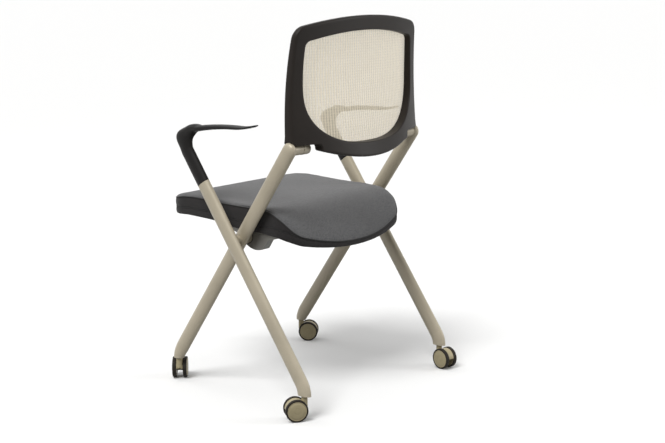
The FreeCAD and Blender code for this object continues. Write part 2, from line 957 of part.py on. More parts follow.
def stacked(rings):
    # A solid through the rings, with a straight-ruled face between each two
    faces = [Part.Face(rings[0]), Part.Face(rings[-1])]
    for low, high in zip(rings, rings[1:]):
        faces += Part.makeRuledSurface(low, high).Faces
    shell = Part.makeShell(faces)
    shell.sewShape()
    return Part.makeSolid(shell)


def arm_post_rings(x):
    # The post carries on the line of the leg up to the bend
    up = leg_direction(FORWARDS)
    joint = leg_point(x, FORWARDS, arm_joint)
    reach = (Vec(x, arm_bend_y, arm_bend_z) - joint).dot(up)
    rings = []
    for step in range(arm_post_steps):
        along = reach * step / arm_post_steps
        rings.append(ring(joint + up * along, up, leg_depth, leg_width, 2))
    return rings


def arm_bend_rings(x):
    # Rings fan out about the inside of the bend, and the nose swells where the arm turns back
    up = leg_direction(FORWARDS)
    pivot = Vec(x, arm_bend_y, arm_bend_z)
    joint = leg_point(x, FORWARDS, arm_joint)
    post_gap = (pivot - joint).dot(across(up)) - leg_depth / 2
    rings = []
    for step in range(arm_bend_steps):
        share = step / arm_bend_steps
        degrees = blend(HALF_TURN + leg_lean, QUARTER_TURN, share)
        angle = math.radians(degrees)
        spoke = Vec(0, math.cos(angle), math.sin(angle))
        inner = blend(post_gap, arm_bend_radius, min(1, 2 * share))
        outer = blend(post_gap + leg_depth, arm_bend_radius + arm_root_thickness, share)
        outer += arm_nose * math.exp(-((degrees - arm_nose_angle) / arm_nose_spread) ** 2)
        centre = pivot + spoke * ((inner + outer) / 2)
        heading = Vec(0, spoke.z, -spoke.y)
        width = blend(leg_width, arm_width, share)
        rings.append(ring(centre, heading, outer - inner, width, blend(2, arm_squareness, share)))
    return rings


def arm_pad_rings(x):
    # The pad thins towards its tip, which lifts a little
    root_z = arm_bend_z + arm_bend_radius + arm_root_thickness / 2
    rings = []
    for step in range(arm_pad_steps + 1):
        y = blend(arm_bend_y, arm_tip_y, step / arm_pad_steps)
        share = (y - arm_bend_y) / (arm_waist_y - arm_bend_y)
        if share <= 1:
            z = blend(root_z, arm_waist_z, 2 * share - share ** 2)
            thickness = blend(arm_root_thickness, arm_waist_thickness, share)
        else:
            share = (y - arm_waist_y) / (arm_tip_y - arm_waist_y)
            z = blend(arm_waist_z, arm_tip_z, share ** 2)
            thickness = blend(arm_waist_thickness, arm_tip_thickness, share)
        rings.append(ring(Vec(x, y, z), Y_AXIS, thickness, arm_width, arm_squareness))
    return rings


def arm_tip_trim(x):
    # What lies outside the rounded end of the pad, seen from above
    radius = arm_width / 2
    low = Vec(x, arm_tip_y - radius, arm_waist_z - arm_width)
    high = low + Z_AXIS * (2 * arm_width)
    corner = Vec(arm_width, 0, 0)
    return box(low - corner, high + corner + Y_AXIS * arm_width).cut(cylinder(radius, low, high))


def armrest():
    x = outer_leg_x
    moulding = stacked(arm_post_rings(x) + arm_bend_rings(x) + arm_pad_rings(x))
    plug = oval_bar(x, FORWARDS, arm_joint - arm_plug_length, arm_joint, leg_wall + plug_fit)
    return moulding.cut(arm_tip_trim(x)).fuse(plug)


def save_pair(shape, name):
    save(shape, name + "_left")
    save(mirrored(shape), name + "_right")


def swivel_points():
    points = {}
    for side, sign in (("left", 1), ("right", -1)):
        points["rear_" + side] = (sign * outer_leg_x, rear_swivel_y)
        points["front_" + side] = (sign * inner_leg_x, front_swivel_y)
    return points


def build_frame():
    save_pair(outer_leg(outer_leg_x), "rear_leg")
    save_pair(inner_leg(inner_leg_x), "front_leg")
    save_pair(foot(outer_leg_x, FORWARDS, rear_swivel_y, rear_foot_depth), "rear_foot")
    save_pair(foot(inner_leg_x, REARWARDS, front_swivel_y, front_foot_depth), "front_foot")
    save_pair(leg_spacer(1), "leg_spacer")
    save_pair(pivot_housing(), "pivot_housing")
    save_pair(armrest(), "armrest")
    save(seat_tube(), "seat_tube")
    save(group([pivot_pin(), mirrored(pivot_pin())]), "pivot_pins")


def build_seat():
    save(seat_cushion(), "seat_cushion")
    save(drilled_pan(), "seat_pan")
    save_pair(seat_bracket(), "seat_bracket")
    bush = bracket_bush()
    save(group([bush, mirrored(bush)]), "bracket_bushes")
    screws = bracket_screws()
    save(group(screws + [mirrored(screw) for screw in screws]), "bracket_screws")
    buffer = seat_buffer()
    save(group([buffer, mirrored(buffer)]), "seat_buffers")


def build_backrest():
    save(back_frame(), "back_frame")
    save(back_mesh(), "back_mesh")
    save(mesh_bead(), "mesh_bead")
    save_pair(back_lug(), "back_lug")
    bush = tilt_bush()
    save(group([bush, mirrored(bush)]), "tilt_bushes")
    screw = lug_screw(0)
    save(group([screw, mirrored(screw)]), "lug_screws")


def build_castors():
    spots = swivel_points()
    save(group([castor_socket(x, y) for x, y in spots.values()]), "castor_sockets")
    save(group([castor_stem(x, y) for x, y in spots.values()]), "castor_stems")
    pieces = {
        "hood": castor_hood(),
        "axle": castor_axle(),
        "wheel_a": castor_wheel(),
        "wheel_b": across_hood(castor_wheel()),
        "tread_a": castor_tread(),
        "tread_b": across_hood(castor_tread()),
    }
    for corner, (x, y) in spots.items():
        for name, shape in pieces.items():
            save(placed_castor(shape, x, y, castor_heading[corner]), "castor_" + corner + "_" + name)


build_frame()
build_seat()
build_backrest()
build_castors()
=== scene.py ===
import json
import math

import bmesh
import bpy
import numpy as np
from mathutils import Matrix, Vector
from mathutils.bvhtree import BVHTree


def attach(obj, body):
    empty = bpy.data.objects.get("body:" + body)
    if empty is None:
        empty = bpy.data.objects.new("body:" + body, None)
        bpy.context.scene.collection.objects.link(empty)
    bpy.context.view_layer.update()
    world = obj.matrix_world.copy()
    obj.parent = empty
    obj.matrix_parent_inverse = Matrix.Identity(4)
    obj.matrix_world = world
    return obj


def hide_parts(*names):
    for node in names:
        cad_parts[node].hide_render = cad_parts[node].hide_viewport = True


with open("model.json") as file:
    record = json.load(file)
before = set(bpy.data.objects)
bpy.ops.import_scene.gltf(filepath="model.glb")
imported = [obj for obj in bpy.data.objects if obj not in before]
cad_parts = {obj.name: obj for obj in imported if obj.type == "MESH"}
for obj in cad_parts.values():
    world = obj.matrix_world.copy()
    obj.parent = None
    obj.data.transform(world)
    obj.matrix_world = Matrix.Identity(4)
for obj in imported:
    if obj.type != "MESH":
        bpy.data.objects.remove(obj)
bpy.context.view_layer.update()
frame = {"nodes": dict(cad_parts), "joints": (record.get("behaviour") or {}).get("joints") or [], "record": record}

scene = bpy.context.scene
MM = 0.001
FULL_TURN = 2 * math.pi
RIB_PITCH = 7.6

# Camera at the photograph's viewing angle

camera = bpy.data.cameras.new("camera")
camera.sensor_fit = "HORIZONTAL"
camera.sensor_width = 36.0
camera.lens = 71.25
camera.clip_end = 50.0
camera_object = bpy.data.objects.new("camera", camera)
scene.collection.objects.link(camera_object)
right = Vector((-0.637689, 0.770275, -0.005460))
up = Vector((-0.148826, -0.116248, 0.982007))
forward = Vector((-0.755780, -0.627027, -0.188767))
turn = Matrix((right, up, -forward)).transposed().to_4x4()
camera_object.matrix_world = Matrix.Translation((2.31328, 1.99687, 0.96279)) @ turn
scene.camera = camera_object
scene.view_settings.view_transform = "Standard"


# Materials


class Finish:
    """A procedural material under construction; place is the point on the object in metres."""

    def __init__(self, name):
        self.material = bpy.data.materials.new(name)
        self.material.use_nodes = True
        self.tree = self.material.node_tree
        self.shader = self.tree.nodes["Principled BSDF"]
        self.place = self.node("ShaderNodeTexCoord").outputs["Object"]

    def node(self, kind, **settings):
        made = self.tree.nodes.new(kind)
        for key, value in settings.items():
            setattr(made, key, value)
        return made

    def link(self, output, entry):
        self.tree.links.new(output, entry)

    def feed(self, value, entry):
        # value is a constant or the output of another node
        if isinstance(value, (int, float)):
            entry.default_value = value
        else:
            self.link(value, entry)

    def set(self, **values):
        names = {
            "metallic": "Metallic",
            "roughness": "Roughness",
            "sheen": "Sheen Weight",
            "specular": "Specular IOR Level",
        }
        for key, value in values.items():
            self.shader.inputs[names[key]].default_value = value
        return self

    def noise(self, scale, detail, stretch=None):
        made = self.node("ShaderNodeTexNoise")
        made.inputs["Scale"].default_value = scale
        made.inputs["Detail"].default_value = detail
        source = self.place
        if stretch is not None:
            mapping = self.node("ShaderNodeMapping")
            mapping.inputs["Scale"].default_value = stretch
            self.link(source, mapping.inputs["Vector"])
            source = mapping.outputs["Vector"]
        self.link(source, made.inputs["Vector"])
        return made.outputs["Fac"]

    def math(self, operation, *values):
        made = self.node("ShaderNodeMath", operation=operation)
        for entry, value in zip(made.inputs, values):
            self.feed(value, entry)
        return made.outputs[0]

    def blend(self, first, share, second):
        # A share of the first value and the rest of the second
        return self.math("MULTIPLY_ADD", first, share, self.math("MULTIPLY", second, 1 - share))

    def wave(self, operation, value, turns):
        # A sine or cosine that runs between 0 and 1
        swing = self.math(operation, self.math("MULTIPLY", value, turns))
        return self.math("MULTIPLY_ADD", swing, 0.5, 0.5)

    def mixed(self, factor, first, second):
        made = self.node("ShaderNodeMixShader")
        self.feed(factor, made.inputs[0])
        self.link(first.outputs[0], made.inputs[1])
        self.link(second.outputs[0], made.inputs[2])
        return made

    def axis(self, name):
        split = self.node("ShaderNodeSeparateXYZ")
        self.link(self.place, split.inputs[0])
        return split.outputs[name]

    def ramp(self, value, stops):
        made = self.node("ShaderNodeValToRGB")
        elements = made.color_ramp.elements
        while len(elements) < len(stops):
            elements.new(0.5)
        for element, (position, color) in zip(elements, stops):
            element.position = position
            element.color = (*color, 1.0)
        self.link(value, made.inputs["Fac"])
        return made.outputs["Color"]

    def vary_color(self, value, dark, light, low=0.3, high=0.7):
        self.link(self.ramp(value, [(low, dark), (high, light)]), self.shader.inputs["Base Color"])
        return self

    def vary_roughness(self, value, low, high):
        made = self.node("ShaderNodeMapRange")
        made.inputs["From Min"].default_value = 0.3
        made.inputs["From Max"].default_value = 0.7
        made.inputs["To Min"].default_value = low
        made.inputs["To Max"].default_value = high
        self.link(value, made.inputs["Value"])
        self.link(made.outputs["Result"], self.shader.inputs["Roughness"])
        return self

    def bump(self, height, distance, strength, after=None):
        made = self.node("ShaderNodeBump")
        made.inputs["Distance"].default_value = distance
        made.inputs["Strength"].default_value = strength
        self.link(height, made.inputs["Height"])
        if after is not None:
            self.link(after, made.inputs["Normal"])
        self.link(made.outputs["Normal"], self.shader.inputs["Normal"])
        return made.outputs["Normal"]


def shaded(color, factor):
    return tuple(part * factor for part in color)


def paint(name, color, metallic, rough):
    # Powder coat: a fine orange peel, tiny flakes and slow drifts in tone
    finish = Finish(name).set(metallic=metallic)
    flake = finish.noise(2600.0, 1.0)
    drift = finish.noise(9.0, 3.0)
    finish.vary_color(finish.blend(flake, 0.55, drift), shaded(color, 0.86), shaded(color, 1.12), 0.36, 0.64)
    finish.vary_roughness(finish.noise(60.0, 4.0), rough - 0.05, rough + 0.06)
    peel = finish.bump(finish.noise(420.0, 2.0), 0.00006, 0.5)
    finish.bump(flake, 0.00002, 0.4, after=peel)
    return finish.material


def moulding(name, color, rough, grain=1500.0):
    # Moulded plastic: spark-eroded grain with slightly polished high spots
    finish = Finish(name).set(specular=0.16)
    pits = finish.noise(grain, 3.0)
    drift = finish.noise(14.0, 3.0)
    finish.vary_color(finish.blend(pits, 0.4, drift), shaded(color, 0.85), shaded(color, 1.15), 0.35, 0.65)
    finish.vary_roughness(finish.blend(pits, 0.5, drift), rough - 0.06, rough + 0.08)
    finish.bump(pits, 0.00007, 0.7)
    return finish.material


def woven(name, color, pitch, contrast, sheen=0.25):
    # Plain weave: warp and weft threads that pass over and under, with fuzz and slubs
    finish = Finish(name).set(sheen=sheen, specular=0.2)
    wobble = finish.math("MULTIPLY", finish.noise(90.0, 2.0), 1.5)
    threads = []
    for axis, lean in (("X", 0.35), ("Y", 0.75)):
        along = finish.math("ADD", finish.axis(axis), finish.math("MULTIPLY", finish.axis("Z"), lean))
        threads.append(finish.math("SINE", finish.math("MULTIPLY_ADD", along, FULL_TURN / pitch, wobble)))
    fuzz = finish.noise(1400.0, 3.0)
    height = finish.math("MULTIPLY_ADD", finish.math("MULTIPLY", *threads), 0.35, fuzz)
    slub = finish.noise(300.0, 5.0, stretch=(1.0, 1.8, 1.0))
    tone = finish.blend(height, 0.25, slub)
    finish.vary_color(tone, shaded(color, 1 - contrast), shaded(color, 1 + contrast), 0.34, 0.66)
    finish.vary_roughness(fuzz, 0.80, 0.93)
    finish.bump(height, pitch * 0.22, 0.7)
    return finish.material


def turned_steel(name):
    finish = Finish(name).set(metallic=1.0)
    streak = finish.noise(500.0, 2.0, stretch=(1.0, 1.0, 8.0))
    finish.vary_color(streak, (0.42, 0.42, 0.43), (0.62, 0.62, 0.63))
    finish.vary_roughness(streak, 0.25, 0.4)
    finish.bump(streak, 0.00002, 0.4)
    return finish.material


def knitted(name, color, rib):
    # Open knit: ribs of a given pitch up the back, with rows of small holes between them
    finish = Finish(name).set(sheen=0.2, roughness=0.7, specular=0.2)
    x = finish.axis("X")
    z = finish.axis("Z")
    hole_turns = FULL_TURN * 3 / rib
    holes = finish.math("MULTIPLY", finish.wave("SINE", x, hole_turns), finish.wave("SINE", z, hole_turns))
    column = finish.wave("COSINE", x, FULL_TURN / rib)
    row = finish.wave("COSINE", z, FULL_TURN / (0.8 * rib))
    yarn = finish.noise(900.0, 2.0)
    grid = finish.math("MULTIPLY_ADD", column, 0.5, finish.math("MULTIPLY", row, 0.25))
    tone = finish.math("MULTIPLY_ADD", yarn, 0.25, grid)
    finish.vary_color(tone, shaded(color, 0.72), shaded(color, 1.04), 0.15, 0.85)
    open_share = finish.math("MULTIPLY", holes, finish.math("MULTIPLY_ADD", column, -0.6, 1.0))
    eased = finish.math("SMOOTH_MIN", finish.math("MULTIPLY", open_share, 1.1), 0.8, 0.3)
    solid = finish.math("SUBTRACT", 1.0, eased)
    finish.link(solid, finish.shader.inputs["Alpha"])
    finish.bump(finish.math("ADD", column, finish.math("MULTIPLY", yarn, 0.5)), 0.0003, 0.6)
    translucent = finish.node("ShaderNodeBsdfTranslucent")
    translucent.inputs["Color"].default_value = (*color, 1.0)
    glow = finish.mixed(solid, finish.node("ShaderNodeBsdfTransparent"), translucent)
    both = finish.mixed(0.35, finish.shader, glow)
    finish.link(both.outputs[0], finish.tree.nodes["Material Output"].inputs["Surface"])
    return finish.material


def seen_directly(tree):
    # 1 for a camera, mirror or see-through ray, so that a backdrop can look paler than it lights
    path = tree.nodes.new("ShaderNodeLightPath")
    seen = path.outputs["Is Camera Ray"]
    for ray in ("Is Glossy Ray", "Is Transmission Ray"):
        either = tree.nodes.new("ShaderNodeMath")
        either.operation = "MAXIMUM"
        tree.links.new(seen, either.inputs[0])
        tree.links.new(path.outputs[ray], either.inputs[1])
        seen = either.outputs[0]
    return seen


CHAMPAGNE = (0.43, 0.38, 0.285)
FINISHES = {
    "leg_paint": paint("leg_paint", CHAMPAGNE, 0.18, 0.36),
    "cast_paint": paint("cast_paint", shaded(CHAMPAGNE, 1.04), 0.15, 0.42),
    "back_plastic": moulding("back_plastic", (0.0175, 0.0137, 0.0112), 0.40),
    "mesh_fabric": knitted("mesh_fabric", (0.96, 0.865, 0.68), RIB_PITCH * MM),
    "bead_plastic": moulding("bead_plastic", (0.60, 0.55, 0.44), 0.5),
    "seat_fabric": woven("seat_fabric", (0.100, 0.100, 0.102), 0.0016, 0.32),
    "pan_plastic": moulding("pan_plastic", (0.030, 0.026, 0.025), 0.55),
    "arm_plastic": moulding("arm_plastic", (0.010, 0.009, 0.0085), 0.48, 1100.0),
    "bracket_paint": paint("bracket_paint", (0.20, 0.195, 0.18), 0.45, 0.45),
    "castor_plastic": moulding("castor_plastic", (0.40, 0.345, 0.215), 0.34, 1300.0),
    "tread_rubber": moulding("tread_rubber", (0.022, 0.018, 0.014), 0.6, 900.0),
    "steel": turned_steel("steel"),
    "soft_rubber": moulding("soft_rubber", (0.020, 0.020, 0.020), 0.7, 900.0),
    "nylon": moulding("nylon", (0.030, 0.029, 0.028), 0.5),
}
border_fabric = woven("border_fabric", (0.022, 0.020, 0.020), 0.0012, 0.3, 0.12)
thread = woven("seam_thread", (0.030, 0.029, 0.029), 0.0008, 0.3, 0.1)

node_slot = {row["node"]: row["material_slot"] for row in frame["record"]["subparts"]}
for node, item in frame["nodes"].items():
    item.data.materials.clear()
    item.data.materials.append(FINISHES[node_slot[node]])


# Shapes


def piece(name, vertices, faces, material, body, nodes=()):
    mesh = bpy.data.meshes.new(name)
    mesh.from_pydata([tuple(float(part) for part in vertex) for vertex in vertices], [], faces)
    mesh.validate()
    mesh.update()
    made = bpy.data.objects.new(name, mesh)
    scene.collection.objects.link(made)
    mesh.materials.append(material)
    mesh.shade_smooth()
    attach(made, body)
    if nodes:
        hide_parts(*nodes)
    return made


def strips(rows, columns, wrap_rows=False, wrap_columns=True):
    # Quads between neighbouring rows of points
    faces = []
    for row in range(rows if wrap_rows else rows - 1):
        below = row * columns
        above = (row + 1) % rows * columns
        for column in range(columns if wrap_columns else columns - 1):
            beside = (column + 1) % columns
            faces.append((below + column, below + beside, above + beside, above + column))
    return faces


def outward(mesh_object):
    work = bmesh.new()
    work.from_mesh(mesh_object.data)
    bmesh.ops.recalc_face_normals(work, faces=work.faces)
    work.to_mesh(mesh_object.data)
    work.free()


def apply_modifiers(made):
    bpy.context.view_layer.update()
    graph = bpy.context.evaluated_depsgraph_get()
    baked = bpy.data.meshes.new_from_object(made.evaluated_get(graph))
    made.modifiers.clear()
    made.data = baked


def bevel(made, width):
    modifier = made.modifiers.new("bevel", "BEVEL")
    modifier.width = width
    modifier.segments = 2
    modifier.limit_method = "ANGLE"
    modifier.angle_limit = math.radians(35.0)


def soften(made, degrees):
    # Smooth shading, with edges sharper than an angle left crisp
    made.data.shade_smooth()
    made.data.set_sharp_from_angle(angle=math.radians(degrees))


def arc_points(start, middle, end, steps):
    # Points on the circle through three points of a plane
    ax, ay = start
    bx, by = middle
    cx, cy = end
    d = 2 * (ax * (by - cy) + bx * (cy - ay) + cx * (ay - by))
    sa, sb, sc = ax * ax + ay * ay, bx * bx + by * by, cx * cx + cy * cy
    ux = (sa * (by - cy) + sb * (cy - ay) + sc * (ay - by)) / d
    uy = (sa * (cx - bx) + sb * (ax - cx) + sc * (bx - ax)) / d
    radius = math.hypot(ax - ux, ay - uy)
    first = math.atan2(ay - uy, ax - ux)
    last = math.atan2(cy - uy, cx - ux)
    through = math.atan2(by - uy, bx - ux)
    span = (last - first) % FULL_TURN
    if (through - first) % FULL_TURN > span:
        span -= FULL_TURN
    angles = first + span * np.linspace(0, 1, steps)
    return np.stack([ux + radius * np.cos(angles), uy + radius * np.sin(angles)], 1)


def joined(runs, radii):
    # Runs of points end to end, each corner eased by its radius
    spacing = 0.7
    done = runs[0]
    for run, radius in zip(runs[1:], radii):
        corner = run[0]
        back = done[-1] - done[-3]
        ahead = run[2] - run[0]
        back = back / np.linalg.norm(back)
        ahead = ahead / np.linalg.norm(ahead)
        bend = math.acos(max(-1.0, min(1.0, float(back @ ahead))))
        reach = radius * math.tan(bend / 2)
        keep_back = done[np.linalg.norm(done - corner, axis=1) > reach]
        keep_ahead = run[np.linalg.norm(run - corner, axis=1) > reach]
        share = np.linspace(0, 1, max(4, int(reach * 2 / spacing)))[:, None][1:-1]
        first = (1 - share) ** 2
        middle = 2 * math.cos(bend / 2) * share * (1 - share)
        last = share ** 2
        curve = (first * keep_back[-1] + middle * corner + last * keep_ahead[0]) / (first + middle + last)
        done = np.concatenate([keep_back, curve, keep_ahead])
    return done


def resampled(points, count):
    lengths = np.concatenate([[0], np.cumsum(np.linalg.norm(np.diff(points, axis=0), axis=1))])
    wanted = np.linspace(0, lengths[-1], count)
    return np.stack([np.interp(wanted, lengths, points[:, axis]) for axis in range(points.shape[1])], 1)


def both_halves(half):
    # A closed outline from its right half, which runs from bottom centre to top centre
    left = half[::-1][1:-1] * (-1, 1)
    return np.concatenate([half, left])


def inward_normals(loop):
    ahead = np.roll(loop, -1, 0) - np.roll(loop, 1, 0)
    ahead = ahead / np.linalg.norm(ahead, axis=1)[:, None]
    return np.stack([-ahead[:, 1], ahead[:, 0]], 1)


# Measures from here on are in millimetres, with two on the legs that place the hinge and the arms

LEAN = math.radians(34.8)
CROSSING_Y = -3.0
CROSSING_Z = 370.0
HINGE_REACH = 255.7
TUBE_DEPTH = 35.0
TUBE_WIDTH = 20.0

# Backrest: heights, centre line, plan radius and depth at four stations, then the outlines

STATION_Z = np.array([535.0, 640.0, 750.0, 880.0])
STATION_Y = np.array([211.0, 193.0, 183.5, 184.5])
STATION_RADIUS = np.array([515.0, 600.0, 740.0, 1150.0])
STATION_DEPTH = np.array([28.0, 21.5, 18.5, 14.0])
BACK_CENTRE_Z = 712.0
LOBE_RISE = 11.0
LOBE_Z = CROSSING_Z + HINGE_REACH * math.cos(LEAN) + LOBE_RISE
PIVOT_Y = CROSSING_Y + HINGE_REACH * math.sin(LEAN)
PIVOT_Z = LOBE_Z - LOBE_RISE
NOTCH_X = 153.0
LOW_CORNER_Z = 575.6
LOW_MIDDLE_Z = 550.5
LOBE_X = 224.0
WAIST = (221.0, 710.0)
SHOULDER = (210.0, 840.0)
CROWN_Z = 862.0
FRAME_CORNER_RADII = [4.5, 9.0, 5.0, 32.0]
WINDOW_X = 191.0
WINDOW_WIDEST_Z = 715.0
WINDOW_DROP = 131.0
WINDOW_SQUARENESS = 0.8
WINDOW_CORNER = (184.5, 809.0)
WINDOW_CORNER_RADIUS = 16.0
WINDOW_CROWN_Z = 829.5
RIM_RADIUS = 5.0
LOBE_RIM_RADIUS = 0.8
LIP_RADIUS = 3.0
REBATE_WIDTH = 8.05
REBATE_DEPTH = 1.25
MESH_MARGIN = 7.9
MESH_DEPTH = 0.6
RIB_HEIGHT = 0.16
# From x, to x and radius of each stretch hollowed about the hinge axis
HINGE_HOLLOWS = ((153.5, 210.5, 13.1), (210.5, 240.0, 18.1))
BARREL_END_X = 186.2
BARREL_LENGTH = 24.0
BARREL_RADIUS = 12.5
BARREL_BORE = 7.1
BARREL_DOME = 4.6
NECK_X = (166.2, 182.2)
NECK_CORNERS = ((3.0, 6.0), (10.0, 6.0), (10.0, 36.0), (3.0, 36.0))


def through_stations(values, z):
    # Cubic through the four stations
    total = 0.0
    for i in range(4):
        term = values[i]
        for j in range(4):
            if i != j:
                term = term * (z - STATION_Z[j]) / (STATION_Z[i] - STATION_Z[j])
        total = total + term
    return total


def rear_y(x, z):
    rows = [STATION_Y[i] - STATION_RADIUS[i] + np.sqrt(STATION_RADIUS[i] ** 2 - x * x) for i in range(4)]
    return through_stations(rows, z)


def front_y(x, z):
    rows = [
        STATION_Y[i] - STATION_DEPTH[i] - STATION_RADIUS[i] + np.sqrt(STATION_RADIUS[i] ** 2 - x * x)
        for i in range(4)
    ]
    return through_stations(rows, z)


def frame_half():
    low_corner = (NOTCH_X, LOW_CORNER_Z)
    bottom = arc_points((-NOTCH_X, LOW_CORNER_Z), (0.0, LOW_MIDDLE_Z), low_corner, 401)[200:]
    step = np.array([[NOTCH_X, z] for z in np.linspace(LOW_CORNER_Z, LOBE_Z, 30)])
    lobe = np.array([[x, LOBE_Z] for x in np.linspace(NOTCH_X, LOBE_X, 120)])
    side = arc_points((LOBE_X, LOBE_Z), WAIST, SHOULDER, 400)
    top = arc_points(SHOULDER, (0.0, CROWN_Z), (-SHOULDER[0], SHOULDER[1]), 601)[:301]
    return joined([bottom, step, lobe, side, top], FRAME_CORNER_RADII)


def window_half(grow):
    half = WINDOW_X + grow
    corner_x = WINDOW_CORNER[0] + grow
    corner_z = WINDOW_CORNER[1] + grow
    angle = np.linspace(-math.pi / 2, 0, 300)
    x = half * np.abs(np.cos(angle)) ** WINDOW_SQUARENESS
    z = WINDOW_WIDEST_Z - (WINDOW_DROP + grow) * np.abs(np.sin(angle)) ** WINDOW_SQUARENESS
    lower = np.stack([x, z], 1)
    middle = ((half + corner_x) / 2 + (half - corner_x) / 4, (WINDOW_WIDEST_Z + corner_z) / 2)
    side = arc_points((half, WINDOW_WIDEST_Z), middle, (corner_x, corner_z), 150)
    top = arc_points((corner_x, corner_z), (0.0, WINDOW_CROWN_Z + grow), (-corner_x, corner_z), 601)[:301]
    smooth = np.concatenate([lower[:-1], side])
    return joined([smooth, top], [WINDOW_CORNER_RADIUS + grow])


def frame_piece():
    outer = both_halves(resampled(frame_half(), 240))
    dense = both_halves(resampled(window_half(0.0), 900))

    def turn(points):
        return np.unwrap(np.arctan2(points[:, 1] - BACK_CENTRE_Z, points[:, 0]))

    # The window's edge, at the same angles about the middle of the back as the outer edge
    start = turn(dense)[0]
    around = (turn(dense) - start) % FULL_TURN
    order = np.argsort(around)
    table = np.append(around[order], FULL_TURN)
    closed = np.concatenate([dense[order], dense[order[:1]]])
    wanted = (turn(outer) - start) % FULL_TURN
    window = np.stack([np.interp(wanted, table, closed[:, axis]) for axis in (0, 1)], 1)
    into_frame = -inward_normals(window)
    inside = inward_normals(outer)
    rows = []

    def add(points, face, lift=0.0):
        x, z = points[:, 0], points[:, 1]
        rows.append(np.stack([x, face(x, z) + lift, z], 1))

    # The rim is a small one on the lobes, with a short passage to the full one
    lobe = (outer[:, 1] < LOBE_Z + 9.0) & (np.abs(outer[:, 0]) > 140.0)
    stepped = np.where(lobe, LOBE_RIM_RADIUS, RIM_RADIUS)
    rim = np.convolve(np.pad(stepped, 3, mode="wrap"), np.ones(7) / 7, "valid")
    wide_rim = rim[:, None]
    fold = np.radians([0, 15, 30, 45, 60, 75, 90])
    inner_edge = window + into_frame * LIP_RADIUS
    outer_edge = outer + inside * wide_rim
    rebate = window + into_frame * REBATE_WIDTH
    for angle in fold[::-1]:
        points = window + into_frame * (LIP_RADIUS * (1 - math.sin(angle)))
        add(points, rear_y, -LIP_RADIUS * (1 - math.cos(angle)))
    for share in np.linspace(0, 1, 11)[1:-1]:
        add(inner_edge + (outer_edge - inner_edge) * share, rear_y)
    for angles, face, sign in ((fold, rear_y, -1), (fold[::-1], front_y, 1)):
        for angle in angles:
            points = outer + inside * (wide_rim * (1 - math.sin(angle)))
            add(points, face, sign * rim * (1 - math.cos(angle)))
    for share in np.linspace(0, 1, 11)[1:]:
        add(outer_edge + (rebate - outer_edge) * share, front_y)
    add(rebate, front_y, REBATE_DEPTH)
    add(window, front_y, REBATE_DEPTH)
    made = piece(
        "backrest_frame", np.concatenate(rows) * MM, strips(len(rows), len(outer), wrap_rows=True),
        FINISHES["back_plastic"], "backrest", ("back_frame",),
    )
    outward(made)
    cutters = []
    for low, high, radius in HINGE_HOLLOWS:
        for sign in (-1, 1):
            cutters.append(hinge_cylinder(sign * low, sign * high, radius))
            modifier = made.modifiers.new("hollow", "BOOLEAN")
            modifier.operation = "DIFFERENCE"
            modifier.solver = "EXACT"
            modifier.object = cutters[-1]
    apply_modifiers(made)
    for cutter in cutters:
        bpy.data.objects.remove(cutter, do_unlink=True)
    soften(made, 38)


def hinge_cylinder(x_low, x_high, radius):
    # A cylinder about the hinge axis that cuts a hollow
    work = bmesh.new()
    place = Matrix.Translation(((x_low + x_high) / 2 * MM, PIVOT_Y * MM, PIVOT_Z * MM))
    bmesh.ops.create_cone(
        work, cap_ends=True, segments=64, radius1=radius * MM, radius2=radius * MM,
        depth=abs(x_high - x_low) * MM, matrix=place @ Matrix.Rotation(math.pi / 2, 4, "Y"),
    )
    mesh = bpy.data.meshes.new("cutter")
    work.to_mesh(mesh)
    work.free()
    made = bpy.data.objects.new("cutter", mesh)
    scene.collection.objects.link(made)
    made.hide_render = True
    return made


def mesh_piece():
    outline = window_half(MESH_MARGIN)
    split = int(np.argmax(outline[:, 0]))
    lower = outline[: split + 1]
    upper = outline[split:][::-1]
    reach = outline[split, 0] - 0.4
    columns = 419
    rows = 101
    x = np.linspace(-reach, reach, columns)
    low = np.interp(np.abs(x), lower[:, 0], lower[:, 1])
    high = np.interp(np.abs(x), upper[:, 0], upper[:, 1])
    ribs = RIB_HEIGHT * np.cos(FULL_TURN * x / RIB_PITCH)
    vertices = []
    for share in np.linspace(0, 1, rows):
        z = low + (high - low) * share
        vertices.append(np.stack([x, front_y(x, z) + MESH_DEPTH + ribs, z], 1))
    made = piece(
        "backrest_mesh", np.concatenate(vertices) * MM, strips(rows, columns, wrap_columns=False),
        FINISHES["mesh_fabric"], "backrest", ("back_mesh",),
    )


